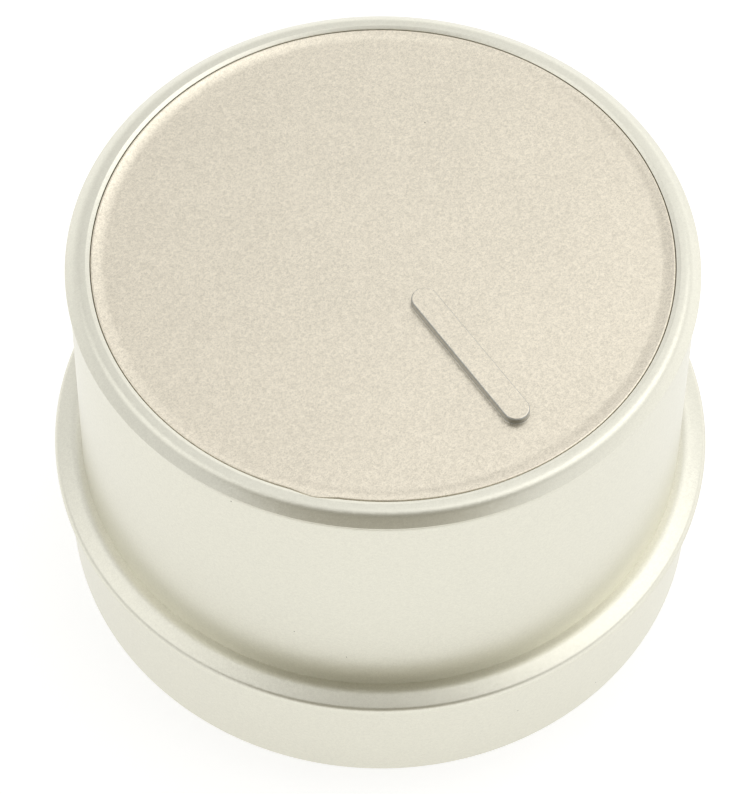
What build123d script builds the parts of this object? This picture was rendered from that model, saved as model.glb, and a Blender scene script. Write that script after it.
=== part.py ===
"""Skirted control knob: a hollow body, a keyed pointer disc and a leaf spring for the shaft."""

import os
from math import cos, radians, sin

from build123d import *

os.makedirs("parts", exist_ok=True)

# Stack of the outside, from the panel upwards, in millimetres
skirt_height = 9.0
bead_height = 0.57
bead_rise = 0.36
foot_drop = 0.06
barrel_height = 18.22
cove_height = 0.4
rim_height = 0.66

# Widths of the outside, from the disc outwards
disc_diameter = 36.8
rim_width = 1.6
rim_overhang = 0.2
barrel_flare = 0.62
bead_crest_step = 0.58
skirt_step = 1.44
bead_overhang = 0.44
skirt_taper = 0.1

# Chamfer, slope and rounds of the rim, its cove and the bead
rim_chamfer_width = 0.7
rim_chamfer_height_share = 0.94
rim_crest_round = 1.0
rim_edge_round_share = 0.05
cove_round = 0.9
rim_slope_width = 0.4
rim_slope_height = 0.14
bead_edge_round_share = 0.7
bead_under_round_share = 0.3
bead_crest_round = 1.5
skirt_edge_round = 0.4

# Hollow underside
wall = 1.8
top_wall = 1.8
corner_round = 1.0

# Boss, shaft socket and ribs
boss_recess = 3.0
boss_root_diameter = 12.4
boss_mouth_diameter = 11.4
shaft_diameter = 6.0
shaft_across_flat = 4.6
socket_clearance = 0.05
socket_depth = 14.0
lead_in_clearance = 0.25
lead_in_depth = 2.0
rib_count = 4
rib_first_angle = 45.0
rib_thickness = 1.5
rib_height = 15.5
rib_bite_share = 0.5

# Leaf spring in its pocket behind the flat of the shaft
spring_thickness = 0.4
spring_width = 4.0
spring_length = 9.6
spring_foot = 1.3
spring_press = 0.12
pocket_depth = 1.2
pocket_clearance = 0.15

# Disc, its turned-up lip and its raised pointer bar
disc_thickness = 1.0
disc_sink = 0.25
disc_clearance = 0.03
lip_height = 0.15
lip_width = 0.16
lip_slope_width = 0.4
lip_round_share = 0.5
bar_inner_reach = 3.7
bar_outer_reach = 15.55
bar_width = 1.7
bar_rise = 0.5
bar_edge_round = 0.12

# Key on the disc's edge, turned clockwise from the pointer as seen from above
key_turn = 46.75
key_width = 2.9
key_depth = 0.21
key_tip_share = 0.1
key_bite_share = 0.75

# Length by which a cut passes the face that it opens
overrun = 1.0

# Heights above the panel
bead_edge = skirt_height + bead_height
bead_crest = bead_edge + bead_rise
barrel_foot = bead_crest - foot_drop
barrel_top = barrel_foot + barrel_height
rim_under = barrel_top + cove_height
rim_crest = rim_under + rim_height
rim_edge = rim_crest - rim_height * rim_chamfer_height_share
disc_face = rim_crest - disc_sink
recess_floor = disc_face - disc_thickness
ceiling = recess_floor - top_wall
shoulder_ceiling = bead_edge - wall
spring_start = boss_recess + lead_in_depth
pocket_top = spring_start + spring_length + pocket_clearance

# Radii about the shaft's axis
recess_radius = disc_diameter / 2
rim_radius = recess_radius + rim_width
rim_land_radius = rim_radius - rim_chamfer_width
barrel_top_radius = rim_radius - rim_overhang
barrel_foot_radius = barrel_top_radius + barrel_flare
bead_crest_radius = barrel_foot_radius + bead_crest_step
skirt_top_radius = barrel_foot_radius + skirt_step
bead_radius = skirt_top_radius + bead_overhang
skirt_foot_radius = skirt_top_radius - skirt_taper
boss_root_radius = boss_root_diameter / 2
boss_mouth_radius = boss_mouth_diameter / 2
shaft_radius = shaft_diameter / 2
socket_radius = shaft_radius + socket_clearance
lead_in_radius = shaft_radius + lead_in_clearance
disc_radius = recess_radius - disc_clearance

# Flat of the socket, and the back of the pocket behind it
flat_offset = shaft_across_flat - shaft_radius + socket_clearance
pocket_back = flat_offset + pocket_depth
pocket_width = spring_width + 2 * pocket_clearance


def corner(sketch, radius, height):
    """The corner of a half section nearest to a radius and a height."""
    return sketch.vertices().sort_by_distance((radius, height))[0]


def key_outline(growth):
    """Corners of the key's blunt wedge in plan, grown by a clearance on its flanks and tip."""
    middle = radians(90 - key_turn)
    root = disc_radius * cos(key_width / 2 / disc_radius)
    across = key_width / 2 + growth
    tip = key_width / 2 * key_tip_share + growth
    inner = disc_radius - lip_width * key_bite_share
    places = [
        (inner, across),
        (root, across),
        (disc_radius + key_depth + growth, tip),
        (disc_radius + key_depth + growth, -tip),
        (root, -across),
        (inner, -across),
    ]
    return [
        (along * cos(middle) - side * sin(middle), along * sin(middle) + side * cos(middle))
        for along, side in places
    ]


# Knob body: one moulding, turned from its half section and then hollowed
with BuildPart() as knob_body:
    with BuildSketch(Plane.XZ) as outside:
        with BuildLine():
            Polyline(
                (0, 0),
                (skirt_foot_radius, 0),
                (skirt_top_radius, skirt_height),
                (bead_radius, skirt_height),
                (bead_radius, bead_edge),
                (bead_crest_radius, bead_crest),
                (barrel_foot_radius, barrel_foot),
                (barrel_top_radius, barrel_top),
                (rim_radius, rim_under),
                (rim_radius, rim_edge),
                (rim_land_radius, rim_crest),
                (recess_radius + rim_slope_width, rim_crest),
                (recess_radius, rim_crest - rim_slope_height),
                (recess_radius, recess_floor),
                (0, recess_floor),
                close=True,
            )
        make_face()
        fillet(corner(outside, skirt_foot_radius, 0), skirt_edge_round)
        fillet(corner(outside, bead_radius, skirt_height), bead_height * bead_under_round_share)
        fillet(corner(outside, bead_radius, bead_edge), bead_height * bead_edge_round_share)
        fillet(corner(outside, bead_crest_radius, bead_crest), bead_crest_round)
        fillet(corner(outside, barrel_top_radius, barrel_top), cove_round)
        fillet(corner(outside, rim_radius, rim_edge), rim_height * rim_edge_round_share)
        fillet(corner(outside, rim_land_radius, rim_crest), rim_crest_round)
    revolve(axis=Axis.Z)

    # Hollow between the boss and the wall, open to the panel
    with BuildSketch(Plane.XZ) as hollow:
        with BuildLine():
            Polyline(
                (0, -overrun),
                (skirt_foot_radius - wall, -overrun),
                (skirt_foot_radius - wall, shoulder_ceiling),
                (barrel_foot_radius - wall, shoulder_ceiling),
                (barrel_top_radius - wall, ceiling),
                (boss_root_radius, ceiling),
                (boss_mouth_radius, boss_recess),
                (0, boss_recess),
                close=True,
            )
        make_face()
        fillet(corner(hollow, skirt_foot_radius - wall, shoulder_ceiling), corner_round)
        fillet(corner(hollow, barrel_top_radius - wall, ceiling), corner_round)
        fillet(corner(hollow, boss_root_radius, ceiling), corner_round)
    revolve(axis=Axis.Z, mode=Mode.SUBTRACT)

    # Ribs from the boss to the wall, hanging from the ceiling
    rib_inner = boss_mouth_radius - rib_thickness * rib_bite_share
    rib_outer = barrel_foot_radius - wall + wall * rib_bite_share
    with BuildSketch(Plane.XY.offset(ceiling - rib_height)):
        with PolarLocations((rib_inner + rib_outer) / 2, rib_count, start_angle=rib_first_angle):
            Rectangle(rib_outer - rib_inner, rib_thickness)
    extrude(amount=rib_height)

    # Flatted socket for the shaft, with a round lead-in at its mouth
    with BuildSketch(Plane.XY.offset(boss_recess)):
        Circle(socket_radius)
        with Locations((0, flat_offset)):
            Rectangle(shaft_diameter, shaft_diameter, align=(Align.CENTER, Align.MIN), mode=Mode.SUBTRACT)
    extrude(amount=socket_depth, mode=Mode.SUBTRACT)
    with BuildSketch(Plane.XY.offset(boss_recess)):
        Circle(lead_in_radius)
    extrude(amount=lead_in_depth, mode=Mode.SUBTRACT)

    # Pocket for the spring, open at the mouth of the boss
    with BuildSketch(Plane.XY.offset(boss_recess)):
        Rectangle(pocket_width, pocket_back, align=(Align.CENTER, Align.MIN))
    extrude(amount=pocket_top - boss_recess, mode=Mode.SUBTRACT)

    # Notch in the rim that takes the key of the disc
    with BuildSketch(Plane.XY.offset(recess_floor)):
        with BuildLine():
            Polyline(*key_outline(disc_clearance), close=True)
        make_face()
    extrude(amount=rim_height + disc_thickness + overrun, mode=Mode.SUBTRACT)

# Pointer disc: a thin plate with a turned-up lip, a key and a raised bar
with BuildPart() as pointer_disc:
    lip_inner = disc_radius - lip_width
    with BuildSketch(Plane.XZ) as plate:
        with BuildLine():
            Polyline(
                (0, recess_floor),
                (disc_radius, recess_floor),
                (disc_radius, disc_face + lip_height),
                (lip_inner, disc_face + lip_height),
                (lip_inner - lip_slope_width, disc_face),
                (0, disc_face),
                close=True,
            )
        make_face()
        fillet(corner(plate, lip_inner - lip_slope_width, disc_face), lip_slope_width * lip_round_share)
    revolve(axis=Axis.Z)
    with BuildSketch(Plane.XY.offset(recess_floor)):
        with BuildLine():
            Polyline(*key_outline(0), close=True)
        make_face()
    extrude(amount=disc_thickness + lip_height)

    # Pointer bar, round-ended, with a softened top edge
    with BuildSketch(Plane.XY.offset(disc_face)):
        with Locations((0, (bar_inner_reach + bar_outer_reach) / 2)):
            SlotOverall(bar_outer_reach - bar_inner_reach, bar_width, rotation=90)
    extrude(amount=bar_rise)
    fillet(pointer_disc.faces().sort_by(Axis.Z)[-1].edges(), bar_edge_round)

# Shaft spring: a bowed leaf whose two feet lie on the back of its pocket
with BuildPart() as shaft_spring:
    bow = pocket_depth - spring_thickness + spring_press
    spring_end = spring_start + spring_length
    bow_start = spring_start + spring_foot
    bow_end = spring_end - spring_foot
    bow_middle = (spring_start + spring_end) / 2
    front = pocket_back - spring_thickness
    with BuildSketch(Plane.YZ):
        with BuildLine():
            Line((pocket_back, spring_start), (pocket_back, bow_start))
            ThreePointArc((pocket_back, bow_start), (pocket_back - bow, bow_middle), (pocket_back, bow_end))
            Polyline(
                (pocket_back, bow_end),
                (pocket_back, spring_end),
                (front, spring_end),
                (front, bow_end),
            )
            ThreePointArc((front, bow_end), (front - bow, bow_middle), (front, bow_start))
            Polyline((front, bow_start), (front, spring_start), (pocket_back, spring_start))
        make_face()
    extrude(amount=spring_width / 2, both=True)

knob_body.part.label = "knob_body"
export_step(knob_body.part, "parts/knob_body.step")
pointer_disc.part.label = "pointer_disc"
export_step(pointer_disc.part, "parts/pointer_disc.step")
shaft_spring.part.label = "shaft_spring"
export_step(shaft_spring.part, "parts/shaft_spring.step")
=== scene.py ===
"""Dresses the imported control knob: painted body, painted pointer disc, steel spring and a studio stage."""

from math import asin, cos, pi, radians, sin, sqrt, tan

import bpy
from bpy.props import FloatProperty, FloatVectorProperty, IntProperty, PointerProperty
from mathutils import Matrix, Vector


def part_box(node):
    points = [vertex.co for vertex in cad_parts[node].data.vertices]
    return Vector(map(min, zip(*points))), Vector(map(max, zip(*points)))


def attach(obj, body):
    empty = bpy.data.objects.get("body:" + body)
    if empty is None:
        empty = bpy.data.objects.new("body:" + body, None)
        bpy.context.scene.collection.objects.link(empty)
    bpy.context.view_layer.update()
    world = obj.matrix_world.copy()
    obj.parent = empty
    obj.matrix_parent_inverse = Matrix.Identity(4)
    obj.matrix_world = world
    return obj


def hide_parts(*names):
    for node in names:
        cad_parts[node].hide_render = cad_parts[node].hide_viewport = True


bl_info = {
    "name": "Control Knob Dresser",
    "version": (1, 0, 0),
    "blender": (4, 5, 0),
    "location": "View3D > Sidebar > Knob",
    "description": "Builds the painted body, pointer disc and spring of a control knob on its packed frame",
    "category": "Object",
}

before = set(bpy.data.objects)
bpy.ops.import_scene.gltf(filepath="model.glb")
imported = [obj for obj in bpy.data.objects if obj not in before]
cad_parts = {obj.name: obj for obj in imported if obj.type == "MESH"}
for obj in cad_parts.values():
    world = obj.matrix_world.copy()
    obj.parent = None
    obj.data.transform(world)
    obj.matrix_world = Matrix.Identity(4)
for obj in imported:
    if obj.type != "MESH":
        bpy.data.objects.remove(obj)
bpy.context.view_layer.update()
BODY_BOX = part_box("knob_body")
DISC_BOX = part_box("pointer_disc")
MM = 0.001

# Points round the knob, steps of a small round, and steps of the plain arcs
RING_COUNT = 288
ARC_STEPS = 8
BAR_END_STEPS = 24
SOCKET_STEPS = 48
LEAD_IN_STEPS = 64

# Edges sharper than this stay sharp; a fillet starts a hair above the face that it lies on
SHARP_ANGLE = radians(38.0)
FILLET_LIFT = 1.02

# Least square of a level direction, which keeps the dome's division away from nought
LEAST_LEVEL = 0.0001
WHITE = (1.0, 1.0, 1.0, 1.0)
MID_GREY = (0.5, 0.5, 0.5)

# Nearest thing that the camera sees, as a share of its distance, and farthest, in widths of the floor
CLIP_NEAR = 0.01
CLIP_FAR = 2.0


# Properties

def length(name, millimetres, description):
    """A length property that is given in millimetres and held in metres."""
    return FloatProperty(
        name=name, description=description, default=millimetres * MM, min=0.0, precision=5,
        subtype="DISTANCE", unit="LENGTH",
    )


def angle(name, degrees, description):
    """An angle property that is given in degrees and held in radians."""
    return FloatProperty(
        name=name, description=description, default=radians(degrees), subtype="ANGLE", unit="ROTATION",
    )


def colour(name, value, description):
    """A linear colour property."""
    return FloatVectorProperty(
        name=name, description=description, default=value, size=3, min=0.0, max=1.0, subtype="COLOR",
    )


def share(name, value, description):
    """A plain share from nought to one."""
    return FloatProperty(
        name=name, description=description, default=value, min=0.0, max=1.0, subtype="FACTOR",
    )


def amount(name, value, description):
    """A plain number that may pass one."""
    return FloatProperty(name=name, description=description, default=value)


class KnobBodySizes(bpy.types.PropertyGroup):
    """Sizes of the moulded body, inside and out."""

    bead_radius: length("Bead radius", BODY_BOX[1].x / MM, "Outermost radius, at the bead")
    crest_height: length("Crest height", BODY_BOX[1].z / MM, "Top of the rim above the panel")
    skirt_height: length("Skirt height", 9.0, "Underside of the bead above the panel")
    skirt_taper: length("Skirt taper", 0.1, "How far the skirt draws in towards the panel")
    skirt_edge: length("Skirt edge", 0.4, "Round of the skirt's bottom edge")
    skirt_step: length("Skirt step", 1.44, "Step from the barrel's foot out to the skirt")
    bead_height: length("Bead height", 0.57, "Height of the bead's upright edge")
    bead_overhang: length("Bead overhang", 0.44, "How far the bead stands proud of the skirt")
    bead_edge_round: length("Bead edge round", 0.4, "Round between the sloped shoulder and the bead's edge")
    bead_under_round: length("Bead under round", 0.12, "Round of the bead's lower edge")
    bead_rise: length("Bead rise", 0.36, "How far the bead's crest stands above its edge")
    bead_crest_step: length("Bead crest step", 0.58, "Distance of the bead's crest from the barrel")
    bead_crest_round: length("Bead crest round", 1.5, "Round of the bead's crest")
    foot_drop: length("Foot drop", 0.06, "How far the barrel's foot lies below the bead's crest")
    barrel_flare: length("Barrel flare", 0.62, "How far the barrel widens from top to foot")
    rim_height: length("Rim height", 0.66, "Height of the rim's outer face")
    rim_width: length("Rim width", 1.6, "Width of the rim from the disc's seat outwards")
    rim_overhang: length("Rim overhang", 0.2, "How far the rim stands proud of the barrel")
    rim_chamfer_width: length("Rim chamfer width", 0.7, "Width of the rim's chamfer")
    rim_chamfer_height: length("Rim chamfer height", 0.62, "Height of the rim's chamfer")
    rim_crest_round: length("Rim crest round", 0.85, "Round between the rim's land and its chamfer")
    rim_edge_round: length("Rim edge round", 0.032, "Round between the rim's chamfer and its edge")
    cove_height: length("Cove height", 0.4, "Height of the cove under the rim")
    cove_round: length("Cove round", 0.9, "Round between the barrel and the cove")
    rim_slope_width: length("Rim slope width", 0.26, "Width of the slope down to the disc")
    rim_slope_height: length("Rim slope height", 0.11, "Height of the slope down to the disc")
    paint_round: length("Paint round", 0.04, "Round that the paint leaves in sharp corners")
    seat_round: length("Seat round", 0.05, "Round at the edge of the disc's seat")
    edge_round: length("Edge round", 0.1, "Round of the small plain edges")
    wall: length("Wall", 1.8, "Thickness of the body's wall")
    top_wall: length("Top wall", 1.8, "Thickness of the wall under the disc")
    corner_round: length("Corner round", 1.0, "Round of the hollow's corners")
    boss_recess: length("Boss recess", 3.0, "Mouth of the boss above the panel")
    boss_root_radius: length("Boss root radius", 6.2, "Radius of the boss at the ceiling")
    boss_mouth_radius: length("Boss mouth radius", 5.7, "Radius of the boss at its mouth")
    socket_radius: length("Socket radius", 3.05, "Radius of the shaft's socket")
    socket_flat: length("Socket flat", 1.65, "Distance of the socket's flat from the axis")
    socket_depth: length("Socket depth", 14.0, "Depth of the socket from the boss's mouth")
    lead_in_radius: length("Lead-in radius", 3.25, "Radius of the round lead-in")
    lead_in_depth: length("Lead-in depth", 2.0, "Depth of the round lead-in")
    pocket_width: length("Pocket width", 4.3, "Width of the spring's pocket")
    pocket_back: length("Pocket back", 2.85, "Distance of the pocket's back from the axis")
    pocket_height: length("Pocket height", 11.75, "Height of the pocket from the boss's mouth")
    rib_count: IntProperty(name="Ribs", description="Ribs round the boss", default=4, min=0)
    rib_angle: angle("Rib angle", 45.0, "Direction of the first rib")
    rib_thickness: length("Rib thickness", 1.5, "Thickness of a rib")
    rib_height: length("Rib height", 15.5, "How far a rib hangs from the ceiling")


class KnobDiscSizes(bpy.types.PropertyGroup):
    """Sizes of the pointer disc, its lip, its key and its bar."""

    edge_radius: length("Edge radius", DISC_BOX[1].x / MM, "Radius of the disc")
    bottom: length("Bottom", DISC_BOX[0].z / MM, "Underside of the disc above the panel")
    thickness: length("Thickness", 1.0, "Thickness of the plate")
    clearance: length("Clearance", 0.03, "Gap between the disc and its seat")
    lip_height: length("Lip height", 0.15, "How far the lip turns up")
    lip_width: length("Lip width", 0.13, "Width of the lip's land")
    lip_slope: length("Lip slope", 0.46, "Width of the slope up to the lip")
    lip_round: length("Lip round", 2.3, "Round at the foot of the slope")
    lip_edge: length("Lip edge", 0.1, "Round of the lip's outer edge")
    lip_crest: length("Lip crest", 0.1, "Round of the lip's inner edge")
    paint_round: length("Paint round", 0.03, "Round that the paint leaves on sharp edges")
    key_angle: angle("Key angle", 43.25, "Direction of the key from the X axis")
    key_half_width: length("Key half width", 1.45, "Half the key's width at its root")
    key_half_tip: length("Key half tip", 0.145, "Half the key's width at its tip")
    key_depth: length("Key depth", 0.21, "How far the key stands out")
    bar_inner: length("Bar inner end", 3.78, "Inner end of the pointer bar from the axis")
    bar_outer: length("Bar outer end", 15.22, "Outer end of the pointer bar from the axis")
    bar_width: length("Bar width", 1.7, "Width of the pointer bar")
    bar_top: length("Bar top", DISC_BOX[1].z / MM, "Top of the pointer bar above the panel")
    bar_edge: length("Bar edge", 0.1, "Round of the bar's upper edge")
    bar_foot: length("Bar foot", 0.03, "Fillet of paint round the bar's foot")
    # Sides of the bar steeper than this tilt take the darker paint: painted shade on its upright sides.
    shaded_side_tilt: angle("Shaded side tilt", 22.0, "Tilt of the bar's sides from which the paint lies thin")


class KnobFinish(bpy.types.PropertyGroup):
    """Colours and grain of the paint, the bare plastic and the steel."""

    body_bright: colour("Body bright", (0.785, 0.770, 0.667), "Brightest flakes of the body's paint")
    body_deep: colour("Body deep", (0.710, 0.695, 0.601), "Darkest flakes of the body's paint")
    disc_bright: colour("Disc bright", (0.900, 0.830, 0.689), "Brightest flakes of the disc's paint")
    disc_deep: colour("Disc deep", (0.636, 0.588, 0.487), "Darkest flakes of the disc's paint")
    # The bar's upright sides get these darker flakes: painted shade.
    shaded_side_bright: colour("Shaded side bright", (0.46, 0.46, 0.44), "Brightest flakes where the paint lies thin")
    shaded_side_deep: colour("Shaded side deep", (0.34, 0.34, 0.32), "Darkest flakes where the paint lies thin")
    dust: colour("Dust", (0.16, 0.14, 0.12), "Specks caught in the paint")
    metallic: share("Metallic", 0.96, "How metallic the paint is")
    smooth: share("Smooth", 0.28, "Roughness of the smoothest paint")
    rough: share("Rough", 0.36, "Roughness of the coarsest paint")
    flake_size: length("Flake size", 0.06, "Size of a flake in the paint")
    flake_tilt: share("Flake tilt", 0.06, "How far the flakes lie askew")
    glint_low: amount("Glint low", -0.46, "What the dullest flake adds to the bright tint's share")
    glint_high: amount("Glint high", 0.29, "What the brightest flake adds to the bright tint's share")
    clump_size: length("Clump size", 0.22, "Size of the clumps that the flakes gather in")
    clump_detail: amount("Clump detail", 1.0, "Detail of those clumps")
    clump_share: amount("Clump share", 0.97, "What the brightest clump adds to the bright tint's share")
    speck_spacing: length("Speck spacing", 1.2, "Spacing of the places where a speck may lie")
    speck_size: length("Speck size", 0.045, "Radius of a speck")
    speck_free: share("Speck-free", 0.94, "Share of those places that stay clean")
    grain_size: length("Grain size", 0.2, "Size of the paint's grain")
    peel_size: length("Peel size", 0.7, "Size of the paint's faint waves")
    peel_depth: length("Peel depth", 0.002, "Depth of the paint's faint waves")
    cloud_size: length("Cloud size", 6.0, "Size of the paint's soft clouds")
    cloud_detail: amount("Cloud detail", 3.0, "Detail of the soft clouds in paint and plastic")
    cloud_share: amount("Cloud share", 0.2, "What the brightest cloud adds to the bright tint's share")
    plastic: colour("Plastic", (0.30, 0.30, 0.29), "Bare plastic of the underside")
    plastic_pale: colour("Plastic pale", (0.36, 0.36, 0.35), "Paler clouds of the bare plastic")
    plastic_cloud: length("Plastic cloud", 3.0, "Size of the bare plastic's clouds")
    plastic_smooth: share("Plastic smooth", 0.5, "Roughness of the smoothest bare plastic")
    plastic_rough: share("Plastic rough", 0.62, "Roughness of the coarsest bare plastic")
    plastic_grain: length("Plastic grain", 0.12, "Size of the bare plastic's grain")
    plastic_depth: length("Plastic depth", 0.004, "Depth of the bare plastic's grain")
    haze_share: share("Haze share", 0.9, "How much paint lies at the open edge of the hollow")
    haze_reach: length("Haze reach", 6.0, "Height over which that paint fades away")
    haze_size: length("Haze size", 0.25, "Size of the spots in that paint")
    haze_thin: share("Haze thin", 0.4, "What is left of that paint in its thinnest spots")
    steel: colour("Steel", (0.52, 0.53, 0.55), "Steel of the spring")
    steel_pale: colour("Steel pale", (0.66, 0.67, 0.69), "Bright grain of the steel")
    steel_smooth: share("Steel smooth", 0.22, "Roughness of the smoothest steel")
    steel_rough: share("Steel rough", 0.36, "Roughness of the coarsest steel")
    steel_grain: length("Steel grain", 0.06, "Width of the steel's grain")
    steel_stretch: share("Steel stretch", 0.06, "Width of the steel's grain for each unit of its length")
    steel_depth: length("Steel depth", 0.002, "Depth of the steel's grain")


class KnobStage(bpy.types.PropertyGroup):
    """Camera, floor and light."""

    azimuth: angle("Azimuth", 145.35, "Direction of the camera round the knob")
    elevation: angle("Elevation", 53.377, "Height of the camera above the horizon")
    distance: length("Distance", 174.8, "Distance of the camera from the disc's centre")
    target_height: length("Target height", 28.9, "Height of the point that the distance is taken from")
    pitch: angle("Pitch", -2.971, "Upward turn of the camera from that point")
    pan: angle("Pan", -0.161, "Sideways turn of the camera from that point")
    roll: angle("Roll", 0.939, "Roll of the camera")
    lens: FloatProperty(name="Lens", description="Focal length", default=125.97, unit="CAMERA")
    floor_width: length("Floor width", 4000.0, "Width of the floor")
    floor_colour: colour("Floor", (0.52, 0.52, 0.515), "Colour of the floor")
    floor_shade: colour("Floor shade", (0.48, 0.48, 0.475), "Faint clouds in the floor")
    cloud_size: length("Floor cloud size", 300.0, "Size of the floor's faint clouds")
    floor_roughness: share("Floor roughness", 0.7, "Roughness of the floor")
    floor_gloss: share("Floor gloss", 0.2, "Strength of the floor's reflection")
    floor_glow: amount("Floor glow", 0.65, "Light that comes up through the floor")
    zenith: amount("Zenith", 0.62, "Light from straight above")
    horizon: amount("Horizon", 1.09, "Light from the walls all round, at the horizon")
    horizon_fade: amount("Horizon fade", 3.5, "How fast the walls' light fades upwards")
    slant: amount("Slant", 0.19, "What the light gains to the right and loses to the left")
    rear: amount("Rear", 0.2, "Extra light from the wall behind the knob")
    shade: share("Shade", 0.56, "Share of the light that is held back round the camera")
    shade_tint: colour("Shade tint", (1.0, 0.945, 0.79), "Tint of the light that is left in that shade")
    shade_elevation: angle("Shade elevation", 47.0, "Elevation of that shade's middle")
    shade_core: angle("Shade core", 20.0, "Angle from its middle up to which that shade is full")
    shade_edge: angle("Shade edge", 38.0, "Angle from its middle at which that shade has faded away")
    lamp: amount("Lamp", 0.66, "Extra light from the soft lamp above and behind the knob")
    lamp_turn: angle("Lamp turn", 42.0, "Turn of the lamp to the right of straight behind")
    lamp_elevation: angle("Lamp elevation", 65.0, "Height of the lamp above the horizon")
    lamp_spread: angle("Lamp spread", 30.0, "Half the width of the lamp's soft disc")
    left: amount("Left box", 0.66, "Extra light from the soft box at the left")
    left_turn: angle("Left box turn", -80.0, "Turn of the left box from straight behind")
    left_elevation: angle("Left box elevation", 61.0, "Height of the left box above the horizon")
    left_spread: angle("Left box spread", 27.0, "Half the width of the left box")
    right: amount("Right box", 0.62, "Extra light from the soft box at the right")
    right_turn: angle("Right box turn", 76.0, "Turn of the right box from straight behind")
    right_elevation: angle("Right box elevation", 59.0, "Height of the right box above the horizon")
    right_spread: angle("Right box spread", 27.0, "Half the width of the right box")
    backdrop: amount("Backdrop", 1.0, "Brightness of the plain backdrop")


# Mesh helpers

def rounded(corners, steps):
    """Points of a half section whose corners, each a radius, a height and a round, are rounded off."""
    points = []
    for index, (radius, height, bend) in enumerate(corners):
        here = Vector((radius, height))
        if not bend:
            points.append(here)
            continue
        back = (Vector(corners[index - 1][:2]) - here).normalized()
        ahead = (Vector(corners[index + 1][:2]) - here).normalized()
        between = back.angle(ahead)
        sweep = pi - between
        centre = here + (back + ahead).normalized() * bend / sin(between / 2)
        start = here + back * bend / tan(between / 2) - centre
        end = here + ahead * bend / tan(between / 2) - centre
        for step in range(steps + 1):
            turn = sweep * step / steps
            points.append(centre + (start * sin(sweep - turn) + end * sin(turn)) / sin(sweep))
    return points


def turned(name, section, angles):
    """A closed mesh turned about the Z axis; the half section at each angle starts and ends on the axis."""
    rings = [section(turn) for turn in angles]
    inner = len(rings[0]) - 2
    places = [(0.0, 0.0, rings[0][0].y), (0.0, 0.0, rings[0][-1].y)]
    for turn, ring in zip(angles, rings):
        places += [(point.x * cos(turn), point.x * sin(turn), point.y) for point in ring[1:-1]]
    faces = []
    for index in range(len(rings)):
        here = 2 + index * inner
        following = 2 + (index + 1) % len(rings) * inner
        faces.append((0, following, here))
        faces.append((1, here + inner - 1, following + inner - 1))
        for row in range(inner - 1):
            faces.append((here + row, following + row, following + row + 1, here + row + 1))
    mesh = bpy.data.meshes.new(name)
    mesh.from_pydata(places, [], faces)
    return mesh


def stacked(name, outlines):
    """A closed mesh through a stack of outlines with as many points each, capped at both ends."""
    count = len(outlines[0])
    places = [place for outline in outlines for place in outline]
    faces = [tuple(reversed(range(count))), tuple(range(len(places) - count, len(places)))]
    for level in range(len(outlines) - 1):
        for index in range(count):
            here = level * count + index
            following = level * count + (index + 1) % count
            faces.append((here, following, following + count, here + count))
    mesh = bpy.data.meshes.new(name)
    mesh.from_pydata(places, [], faces)
    return mesh


def prism(name, outline, low, high):
    """A closed mesh over a flat outline, from one height to another."""
    return stacked(name, [[(x, y, height) for x, y in outline] for height in (low, high)])


def arc(radius, first, last, steps):
    """Points of a circular arc about the axis."""
    turns = [first + (last - first) * step / steps for step in range(steps + 1)]
    return [(radius * cos(turn), radius * sin(turn)) for turn in turns]


def placed(name, mesh):
    """A new object in the scene with this mesh."""
    piece = bpy.data.objects.new(name, mesh)
    bpy.context.scene.collection.objects.link(piece)
    return piece


def combined(piece, tools):
    """Joins meshes to a piece or cuts them from it, in order, and leaves only the finished mesh."""
    helpers = []
    for operation, mesh in tools:
        helper = placed(mesh.name, mesh)
        helpers.append(helper)
        change = piece.modifiers.new(mesh.name, "BOOLEAN")
        change.operation = operation
        change.solver = "EXACT"
        change.material_mode = "TRANSFER"
        change.object = helper
    graph = bpy.context.evaluated_depsgraph_get()
    finished = bpy.data.meshes.new_from_object(piece.evaluated_get(graph))
    if len(finished.polygons) < len(piece.data.polygons) / 2:
        raise RuntimeError(f"{piece.name} lost faces while its pieces were combined")
    rough = piece.data
    piece.modifiers.clear()
    piece.data = finished
    finished.name = piece.name
    bpy.data.meshes.remove(rough)
    for helper in helpers:
        bpy.data.meshes.remove(helper.data)


def softened(piece, sharp_angle):
    """Shades a piece smooth, with its sharp edges kept and its flats left flat."""
    piece.data.shade_smooth()
    piece.data.set_sharp_from_angle(angle=sharp_angle)
    weighting = piece.modifiers.new("flat_faces", "WEIGHTED_NORMAL")
    weighting.keep_sharp = True


def swelling(turn, middle, radius, half_root, half_tip, depth):
    """How far the blunt key stands out at an angle."""
    aside = abs((turn - middle + pi) % (2 * pi) - pi) * radius
    if aside >= half_root:
        return 0.0
    return depth * min(1.0, (half_root - aside) / (half_root - half_tip))


def ring_angles(count, middle, offsets):
    """Even angles round the axis, with a few more at the corners of the key."""
    even = [2 * pi * step / count for step in range(count)]
    return sorted(even + [middle + offset for offset in offsets] + [middle - offset for offset in offsets])


# Material helpers

def fed(tree, sockets, values):
    """Feeds sockets in order: what comes from a node is linked, and plain values are set."""
    for socket, value in zip(sockets, values):
        if isinstance(value, bpy.types.NodeSocket):
            tree.links.new(value, socket)
        else:
            socket.default_value = value


def coloured(sockets):
    """Those of a node's sockets that carry a colour."""
    return [socket for socket in sockets if socket.type == "RGBA"]


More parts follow.
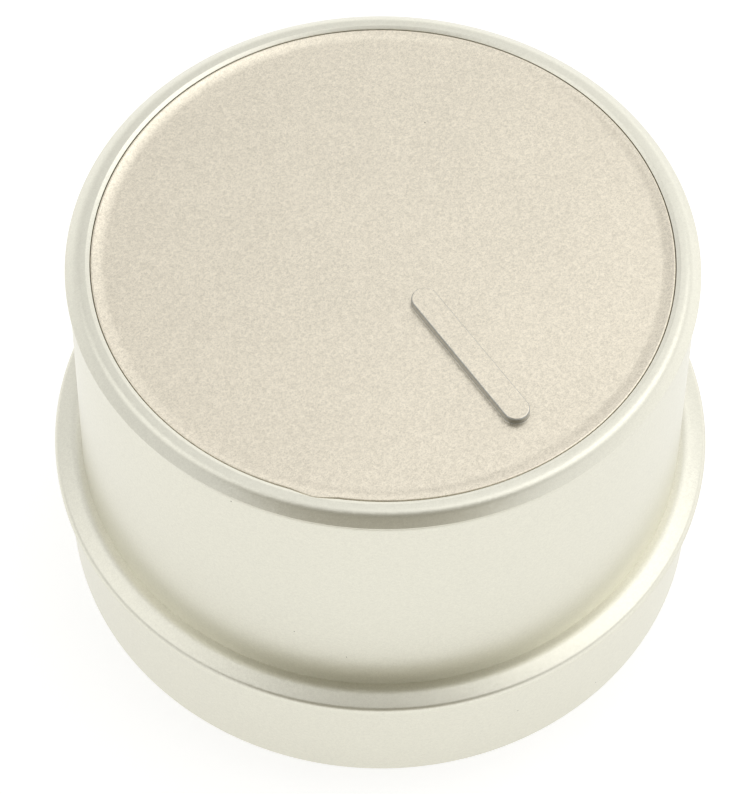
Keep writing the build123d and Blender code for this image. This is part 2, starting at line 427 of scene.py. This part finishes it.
class Shades:
    """A small builder for one node material."""

    def __init__(self, name):
        self.material = bpy.data.materials.new(name)
        self.material.use_nodes = True
        self.tree = self.material.node_tree
        self.surface = self.tree.nodes["Principled BSDF"]
        self.place = self.node("ShaderNodeTexCoord").outputs["Object"]

    def node(self, kind, **settings):
        """A new node with these settings."""
        made = self.tree.nodes.new(kind)
        for key, value in settings.items():
            setattr(made, key, value)
        return made

    def join(self, source, target):
        """Links an output to an input."""
        self.tree.links.new(source, target)

    def noise(self, size, detail=2.0, place=None):
        """Soft noise of a size."""
        made = self.node("ShaderNodeTexNoise")
        made.inputs["Scale"].default_value = 1.0 / size
        made.inputs["Detail"].default_value = detail
        self.join(place or self.place, made.inputs["Vector"])
        return made.outputs["Fac"]

    def cells(self, size):
        """Cells of a size, each with a colour of its own."""
        made = self.node("ShaderNodeTexVoronoi")
        made.inputs["Scale"].default_value = 1.0 / size
        self.join(self.place, made.inputs["Vector"])
        return made

    def ranged(self, source, low, high, start=0.0, end=1.0):
        """A value carried over from one range to another."""
        made = self.node("ShaderNodeMapRange")
        for key, value in (("From Min", start), ("From Max", end), ("To Min", low), ("To Max", high)):
            made.inputs[key].default_value = value
        self.join(source, made.inputs["Value"])
        return made.outputs["Result"]

    def mixed(self, factor, first, second):
        """A colour between two, each of them a node's output or a plain colour."""
        made = self.node("ShaderNodeMix", data_type="RGBA")
        self.join(factor, made.inputs["Factor"])
        ends = [end if isinstance(end, bpy.types.NodeSocket) else (*end, 1.0) for end in (first, second)]
        fed(self.tree, coloured(made.inputs), ends)
        return coloured(made.outputs)[0]

    def maths(self, operation, *values):
        """A sum over numbers."""
        made = self.node("ShaderNodeMath", operation=operation)
        fed(self.tree, made.inputs, values)
        return made.outputs["Value"]

    def vector(self, operation, *values):
        """A sum over vectors."""
        made = self.node("ShaderNodeVectorMath", operation=operation)
        fed(self.tree, made.inputs, values)
        return made.outputs["Vector"]

    def bump(self, height, depth):
        """A surface direction that is roughened to a depth."""
        made = self.node("ShaderNodeBump")
        made.inputs["Distance"].default_value = depth
        made.inputs["Strength"].default_value = 1.0
        self.join(height, made.inputs["Height"])
        return made.outputs["Normal"]


def silver_paint(name, finish, bright, deep):
    """Satin silver paint: flakes that lie a little askew, fine grain, faint waves, soft clouds and dust."""
    shades = Shades(name)
    flakes = shades.cells(finish.flake_size)
    glint = shades.node("ShaderNodeSeparateColor")
    shades.join(flakes.outputs["Color"], glint.inputs["Color"])
    clouds = shades.noise(finish.cloud_size, finish.cloud_detail)
    clumps = shades.noise(finish.clump_size, finish.clump_detail)
    grain = shades.noise(finish.grain_size)
    shine = shades.ranged(glint.outputs["Red"], finish.glint_low, finish.glint_high)
    shine = shades.maths("ADD", shine, shades.ranged(clouds, 0.0, finish.cloud_share))
    shine = shades.maths("ADD", shine, shades.ranged(clumps, 0.0, finish.clump_share))
    paint = shades.mixed(shine, deep, bright)

    specks = shades.cells(finish.speck_spacing)
    rare = shades.node("ShaderNodeSeparateColor")
    shades.join(specks.outputs["Color"], rare.inputs["Color"])
    small = shades.maths("LESS_THAN", specks.outputs["Distance"], finish.speck_size / finish.speck_spacing)
    chosen = shades.maths("GREATER_THAN", rare.outputs["Green"], finish.speck_free)
    speck = shades.maths("MULTIPLY", small, chosen)
    shades.join(shades.mixed(speck, paint, finish.dust), shades.surface.inputs["Base Color"])

    shades.join(shades.ranged(grain, finish.smooth, finish.rough), shades.surface.inputs["Roughness"])
    waves = shades.bump(shades.noise(finish.peel_size), finish.peel_depth)
    askew = shades.vector("SUBTRACT", flakes.outputs["Color"], MID_GREY)
    askew = shades.vector("MULTIPLY", askew, (finish.flake_tilt,) * 3)
    facing = shades.vector("NORMALIZE", shades.vector("ADD", waves, askew))
    shades.join(facing, shades.surface.inputs["Normal"])
    shades.surface.inputs["Metallic"].default_value = finish.metallic
    return shades.material


def bare_plastic(name, finish):
    """Matt moulded plastic of the underside, with a haze of paint that fades in from the open edge."""
    shades = Shades(name)
    clouds = shades.noise(finish.plastic_cloud, finish.cloud_detail)
    plain = shades.mixed(clouds, finish.plastic, finish.plastic_pale)
    height = shades.node("ShaderNodeSeparateXYZ")
    shades.join(shades.place, height.inputs["Vector"])
    haze = shades.ranged(height.outputs["Z"], finish.haze_share, 0.0, 0.0, finish.haze_reach)
    spots = shades.ranged(shades.noise(finish.haze_size), finish.haze_thin, 1.0)
    mist = shades.maths("MULTIPLY", haze, spots)
    shades.join(shades.mixed(mist, plain, finish.body_bright), shades.surface.inputs["Base Color"])
    sheen = shades.ranged(clouds, finish.plastic_smooth, finish.plastic_rough)
    shades.join(sheen, shades.surface.inputs["Roughness"])
    grain = shades.bump(shades.noise(finish.plastic_grain), finish.plastic_depth)
    shades.join(grain, shades.surface.inputs["Normal"])
    return shades.material


def rolled_steel(name, finish):
    """Bright rolled steel with fine grain along the leaf."""
    shades = Shades(name)
    drawn = shades.vector("MULTIPLY", shades.place, (1.0, 1.0, finish.steel_stretch))
    grain = shades.noise(finish.steel_grain, place=drawn)
    shades.join(shades.mixed(grain, finish.steel, finish.steel_pale), shades.surface.inputs["Base Color"])
    sheen = shades.ranged(grain, finish.steel_smooth, finish.steel_rough)
    shades.join(sheen, shades.surface.inputs["Roughness"])
    shades.join(shades.bump(grain, finish.steel_depth), shades.surface.inputs["Normal"])
    shades.surface.inputs["Metallic"].default_value = 1.0
    return shades.material


def pale_floor(name, stage):
    """Plain pale table top."""
    shades = Shades(name)
    clouds = shades.noise(stage.cloud_size)
    tint = shades.mixed(clouds, stage.floor_shade, stage.floor_colour)
    shades.join(tint, shades.surface.inputs["Base Color"])
    shades.surface.inputs["Roughness"].default_value = stage.floor_roughness
    shades.surface.inputs["Specular IOR Level"].default_value = stage.floor_gloss
    shades.surface.inputs["Emission Color"].default_value = WHITE
    shades.surface.inputs["Emission Strength"].default_value = stage.floor_glow
    return shades.material


# Operators

class KNOB_OT_body(bpy.types.Operator):
    """Turn the painted body and hollow it with its boss, socket and ribs"""

    bl_idname = "knob.body"
    bl_label = "Knob Body"

    def execute(self, context):
        sizes = context.scene.knob_body
        disc = context.scene.knob_disc
        finish = context.scene.knob_finish
        skirt_top = sizes.bead_radius - sizes.bead_overhang
        skirt_foot = skirt_top - sizes.skirt_taper
        barrel_foot = skirt_top - sizes.skirt_step
        barrel_top = barrel_foot - sizes.barrel_flare
        rim_radius = barrel_top + sizes.rim_overhang
        recess = rim_radius - sizes.rim_width
        bead_edge = sizes.skirt_height + sizes.bead_height
        bead_crest = bead_edge + sizes.bead_rise
        rim_under = sizes.crest_height - sizes.rim_height
        ceiling = disc.bottom - sizes.top_wall
        shoulder = bead_edge - sizes.wall
        hollow_corners = [
            (0.0, sizes.boss_recess, 0.0),
            (sizes.boss_mouth_radius, sizes.boss_recess, sizes.edge_round),
            (sizes.boss_root_radius, ceiling, sizes.corner_round),
            (barrel_top - sizes.wall, ceiling, sizes.corner_round),
            (barrel_foot - sizes.wall, shoulder, sizes.edge_round),
            (skirt_foot - sizes.wall, shoulder, sizes.corner_round),
            (skirt_foot - sizes.wall, 0.0, sizes.edge_round),
        ]
        outside_corners = [
            (skirt_foot, 0.0, sizes.skirt_edge),
            (skirt_top, sizes.skirt_height, sizes.paint_round),
            (sizes.bead_radius, sizes.skirt_height, sizes.bead_under_round),
            (sizes.bead_radius, bead_edge, sizes.bead_edge_round),
            (barrel_foot + sizes.bead_crest_step, bead_crest, sizes.bead_crest_round),
            (barrel_foot, bead_crest - sizes.foot_drop, 0.0),
            (barrel_top, rim_under - sizes.cove_height, sizes.cove_round),
            (rim_radius, rim_under, 0.0),
            (rim_radius, sizes.crest_height - sizes.rim_chamfer_height, sizes.rim_edge_round),
            (rim_radius - sizes.rim_chamfer_width, sizes.crest_height, sizes.rim_crest_round),
            (recess + sizes.rim_slope_width, sizes.crest_height, sizes.edge_round),
        ]

        def section(turn):
            """Half section at an angle, with the notch for the key in the wall of the recess."""
            notch = swelling(
                turn, disc.key_angle, recess, disc.key_half_width + disc.clearance,
                disc.key_half_tip + disc.clearance, disc.key_depth,
            )
            left = 1.0 - notch / sizes.rim_slope_width
            seat = [
                (recess + notch, sizes.crest_height - sizes.rim_slope_height * left, sizes.seat_round),
                (recess + notch, disc.bottom, 0.0),
                (0.0, disc.bottom, 0.0),
            ]
            return rounded(hollow_corners + outside_corners + seat, ARC_STEPS)

        key_corners = [
            (disc.key_half_width + disc.clearance) / recess,
            (disc.key_half_tip + disc.clearance) / recess,
        ]
        mesh = turned("knob_body_painted", section, ring_angles(RING_COUNT, disc.key_angle, key_corners))
        paint = silver_paint("body_silver_paint", finish, finish.body_bright, finish.body_deep)
        plastic = bare_plastic("bare_plastic", finish)
        mesh.materials.append(paint)
        mesh.materials.append(plastic)
        hollow_edge = skirt_foot - sizes.wall + sizes.edge_round
        for face in mesh.polygons:
            across = sqrt(face.center.x ** 2 + face.center.y ** 2)
            under = face.center.z < ceiling + sizes.edge_round and across < barrel_top - sizes.wall / 2
            skirt_inside = face.center.z < shoulder + sizes.edge_round and across < hollow_edge
            face.material_index = 1 if under or skirt_inside else 0
        piece = placed("knob_body_painted", mesh)
        combined(piece, self.tools(sizes, barrel_foot, ceiling, plastic))
        softened(piece, SHARP_ANGLE)
        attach(piece, "root")
        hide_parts("knob_body")
        return {"FINISHED"}

    def tools(self, sizes, barrel_foot, ceiling, plastic):
        """Ribs to join to the body, and the socket, lead-in and pocket to cut from it."""
        half = sizes.rib_thickness / 2
        near = sizes.boss_mouth_radius - half
        far = barrel_foot - sizes.wall / 2
        mouth = sizes.boss_recess - half
        made = []
        for index in range(sizes.rib_count):
            rib = prism(
                f"rib_{index}", [(near, -half), (far, -half), (far, half), (near, half)],
                ceiling - sizes.rib_height, ceiling + half,
            )
            rib.transform(Matrix.Rotation(sizes.rib_angle + 2 * pi * index / sizes.rib_count, 4, "Z"))
            made.append(("UNION", rib))
        flat_turn = asin(sizes.socket_flat / sizes.socket_radius)
        outline = arc(sizes.socket_radius, pi - flat_turn, 2 * pi + flat_turn, SOCKET_STEPS)
        socket_end = sizes.boss_recess + sizes.socket_depth
        made.append(("DIFFERENCE", prism("socket", outline, mouth, socket_end)))
        ring = arc(sizes.lead_in_radius, 0.0, 2 * pi, LEAD_IN_STEPS)[:-1]
        made.append(("DIFFERENCE", prism("lead_in", ring, mouth, sizes.boss_recess + sizes.lead_in_depth)))
        side = sizes.pocket_width / 2
        back = sizes.pocket_back
        pocket = prism(
            "pocket", [(-side, 0.0), (side, 0.0), (side, back), (-side, back)],
            mouth, sizes.boss_recess + sizes.pocket_height,
        )
        made.append(("DIFFERENCE", pocket))
        for _, mesh in made:
            mesh.materials.append(plastic)
        return made


class KNOB_OT_disc(bpy.types.Operator):
    """Turn the painted disc with its lip and key, and raise the pointer bar on it"""

    bl_idname = "knob.disc"
    bl_label = "Pointer Disc"

    def execute(self, context):
        sizes = context.scene.knob_disc
        finish = context.scene.knob_finish
        face = sizes.bottom + sizes.thickness
        lip_top = face + sizes.lip_height
        lip_inner = sizes.edge_radius - sizes.lip_width

        def section(turn):
            """Half section at an angle, with the key on its edge."""
            edge = sizes.edge_radius + swelling(
                turn, sizes.key_angle, sizes.edge_radius, sizes.key_half_width, sizes.key_half_tip,
                sizes.key_depth,
            )
            corners = [
                (0.0, sizes.bottom, 0.0),
                (edge, sizes.bottom, sizes.paint_round),
                (edge, lip_top, sizes.lip_edge),
                (lip_inner, lip_top, sizes.lip_crest),
                (lip_inner - sizes.lip_slope, face, sizes.lip_round),
                (0.0, face, 0.0),
            ]
            return rounded(corners, ARC_STEPS)

        key_corners = [sizes.key_half_width / sizes.edge_radius, sizes.key_half_tip / sizes.edge_radius]
        mesh = turned("pointer_disc_painted", section, ring_angles(RING_COUNT, sizes.key_angle, key_corners))
        paint = silver_paint("disc_silver_paint", finish, finish.disc_bright, finish.disc_deep)
        # A darker copy of the silver paint for the bar's upright sides: painted shade.
        shaded_side_paint = silver_paint("shaded_side_silver_paint", finish, finish.shaded_side_bright, finish.shaded_side_deep)
        mesh.materials.append(paint)
        piece = placed("pointer_disc_painted", mesh)
        bar = self.bar(sizes, face)
        bar.materials.append(paint)
        bar.materials.append(shaded_side_paint)
        # Faces of the bar steeper than the tilt take the painted shade.
        for side in bar.polygons:
            side.material_index = 1 if abs(side.normal.z) < cos(sizes.shaded_side_tilt) else 0
        combined(piece, [("UNION", bar)])
        softened(piece, SHARP_ANGLE)
        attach(piece, "root")
        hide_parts("pointer_disc")
        return {"FINISHED"}

    def bar(self, sizes, face):
        """The round-ended bar, from a root inside the disc over its foot and side to its softened top."""
        quarter = [pi / 2 * step / ARC_STEPS for step in range(ARC_STEPS + 1)]
        root = [(sizes.bar_foot, face - sizes.thickness / 2)]
        foot = [
            (sizes.bar_foot * (1 - sin(turn)), face + sizes.bar_foot * (FILLET_LIFT - cos(turn)))
            for turn in quarter
        ]
        edge = [
            (sizes.bar_edge * (cos(turn) - 1), sizes.bar_top - sizes.bar_edge * (1 - sin(turn)))
            for turn in quarter
        ]
        half = sizes.bar_width / 2
        near = sizes.bar_inner + half
        far = sizes.bar_outer - half
        outlines = []
        for spread, height in root + foot + edge:
            tip = [(x, y + far) for x, y in arc(half + spread, 0.0, pi, BAR_END_STEPS)]
            tail = [(x, y + near) for x, y in arc(half + spread, pi, 2 * pi, BAR_END_STEPS)]
            outlines.append([(x, y, height) for x, y in tip + tail])
        return stacked("pointer_bar", outlines)


class KNOB_OT_spring(bpy.types.Operator):
    """Give the leaf spring of the frame its rolled steel"""

    bl_idname = "knob.spring"
    bl_label = "Shaft Spring"

    def execute(self, context):
        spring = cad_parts["shaft_spring"]
        spring.data.materials.clear()
        spring.data.materials.append(rolled_steel("spring_steel_rolled", context.scene.knob_finish))
        return {"FINISHED"}


class KNOB_OT_stage(bpy.types.Operator):
    """Set the floor, the soft light and the camera"""

    bl_idname = "knob.stage"
    bl_label = "Stage"

    def execute(self, context):
        stage = context.scene.knob_stage
        half = stage.floor_width / 2
        mesh = bpy.data.meshes.new("floor")
        corners = [(-half, -half, 0.0), (half, -half, 0.0), (half, half, 0.0), (-half, half, 0.0)]
        mesh.from_pydata(corners, [], [(0, 1, 2, 3)])
        mesh.materials.append(pale_floor("pale_floor", stage))
        placed("floor", mesh)
        self.light(context, stage)
        self.camera(context, stage)
        context.scene.view_settings.view_transform = "Standard"
        return {"FINISHED"}

    def light(self, context, stage):
        """A soft dome with a lamp, a box at either side and a warm shade round the camera."""
        world = bpy.data.worlds.new("studio_dome")
        world.use_nodes = True
        context.scene.world = world
        tree = world.node_tree
        background = tree.nodes["Background"]
        place = tree.nodes.new("ShaderNodeTexCoord").outputs["Generated"]
        across = Vector((cos(stage.azimuth), sin(stage.azimuth), 0.0))
        level = Vector((sin(stage.azimuth), -cos(stage.azimuth), 0.0))

        def maths(operation, *values):
            """A sum over numbers."""
            made = tree.nodes.new("ShaderNodeMath")
            made.operation = operation
            fed(tree, made.inputs, values)
            return made.outputs["Value"]

        def towards(direction):
            """Cosine of the angle to a direction."""
            made = tree.nodes.new("ShaderNodeVectorMath")
            made.operation = "DOT_PRODUCT"
            fed(tree, made.inputs, (place, direction))
            return made.outputs["Value"]

        def eased(value, start, end):
            """A soft step from nought to one between two values."""
            made = tree.nodes.new("ShaderNodeMapRange")
            made.interpolation_type = "SMOOTHSTEP"
            tree.links.new(value, made.inputs["Value"])
            made.inputs["From Min"].default_value = start
            made.inputs["From Max"].default_value = end
            return made.outputs["Result"]

        up = towards(Vector((0.0, 0.0, 1.0)))
        flat = maths("MULTIPLY_ADD", maths("MULTIPLY", up, up), -1.0, 1.0)
        flat = maths("SQRT", maths("MAXIMUM", flat, LEAST_LEVEL))
        near = maths("DIVIDE", towards(level), flat)
        rear = maths("MAXIMUM", maths("MULTIPLY", near, -1.0), 0.0)
        wall = maths("MULTIPLY_ADD", rear, stage.rear, stage.horizon - stage.zenith)
        wall = maths("MULTIPLY_ADD", towards(across), stage.slant, wall)
        glow = maths("MULTIPLY_ADD", maths("POWER", flat, stage.horizon_fade), wall, stage.zenith)
        for strength, turn, elevation, spread in (
            (stage.lamp, stage.lamp_turn, stage.lamp_elevation, stage.lamp_spread),
            (stage.left, stage.left_turn, stage.left_elevation, stage.left_spread),
            (stage.right, stage.right_turn, stage.right_elevation, stage.right_spread),
        ):
            aim = (across * sin(turn) - level * cos(turn)) * cos(elevation)
            aim = aim + Vector((0.0, 0.0, sin(elevation)))
            glow = maths("MULTIPLY_ADD", eased(towards(aim), cos(spread), 1.0), strength, glow)
        lens = level * cos(stage.shade_elevation) + Vector((0.0, 0.0, sin(stage.shade_elevation)))
        shade = eased(towards(lens), cos(stage.shade_edge), cos(stage.shade_core))
        glow = maths("MULTIPLY", glow, maths("MULTIPLY_ADD", shade, -stage.shade, 1.0))
        seen = tree.nodes.new("ShaderNodeLightPath").outputs["Is Camera Ray"]
        mix = tree.nodes.new("ShaderNodeMix")
        tree.links.new(seen, mix.inputs["Factor"])
        tree.links.new(glow, mix.inputs["A"])
        mix.inputs["B"].default_value = stage.backdrop
        tree.links.new(mix.outputs["Result"], background.inputs["Strength"])
        tint = tree.nodes.new("ShaderNodeMix")
        tint.data_type = "RGBA"
        tree.links.new(shade, tint.inputs["Factor"])
        fed(tree, coloured(tint.inputs), (WHITE, (*stage.shade_tint, 1.0)))
        tree.links.new(coloured(tint.outputs)[0], background.inputs["Color"])

    def camera(self, context, stage):
        """A long lens at the viewing angle, turned a little from the middle of the disc."""
        back = Vector((
            sin(stage.azimuth) * cos(stage.elevation),
            -cos(stage.azimuth) * cos(stage.elevation),
            sin(stage.elevation),
        ))
        data = bpy.data.cameras.new("camera")
        data.lens = stage.lens
        data.clip_start = stage.distance * CLIP_NEAR
        data.clip_end = stage.floor_width * CLIP_FAR
        camera = bpy.data.objects.new("camera", data)
        context.scene.collection.objects.link(camera)
        aim = (-back).to_track_quat("-Z", "Y").to_matrix()
        aim = aim @ Matrix.Rotation(stage.pitch, 3, "X")
        aim = aim @ Matrix.Rotation(-stage.pan, 3, "Y") @ Matrix.Rotation(stage.roll, 3, "Z")
        spot = Vector((0.0, 0.0, stage.target_height)) + back * stage.distance
        camera.matrix_world = Matrix.Translation(spot) @ aim.to_4x4()
        context.scene.camera = camera


class KNOB_PT_dresser(bpy.types.Panel):
    """Lists the knob's pieces and the sizes and colours behind them"""

    bl_idname = "KNOB_PT_dresser"
    bl_label = "Control Knob"
    bl_space_type = "VIEW_3D"
    bl_region_type = "UI"
    bl_category = "Knob"

    def draw(self, context):
        for operator in OPERATORS:
            self.layout.operator(operator.bl_idname)
        for name in GROUPS:
            box = self.layout.box()
            box.label(text=name.replace("_", " ").title())
            group = getattr(context.scene, name)
            for key in group.bl_rna.properties.keys():
                if key not in {"rna_type", "name"}:
                    box.prop(group, key)


GROUPS = {
    "knob_body": KnobBodySizes,
    "knob_disc": KnobDiscSizes,
    "knob_finish": KnobFinish,
    "knob_stage": KnobStage,
}
OPERATORS = (KNOB_OT_body, KNOB_OT_disc, KNOB_OT_spring, KNOB_OT_stage)


def register():
    for group in GROUPS.values():
        bpy.utils.register_class(group)
    for operator in OPERATORS:
        bpy.utils.register_class(operator)
    bpy.utils.register_class(KNOB_PT_dresser)
    for name, group in GROUPS.items():
        setattr(bpy.types.Scene, name, PointerProperty(type=group))


def unregister():
    for name in GROUPS:
        delattr(bpy.types.Scene, name)
    bpy.utils.unregister_class(KNOB_PT_dresser)
    for operator in reversed(OPERATORS):
        bpy.utils.unregister_class(operator)
    for group in reversed(GROUPS.values()):
        bpy.utils.unregister_class(group)


def main():
    register()
    bpy.ops.knob.body()
    bpy.ops.knob.disc()
    bpy.ops.knob.spring()
    bpy.ops.knob.stage()


if __name__ == "__main__":
    main()
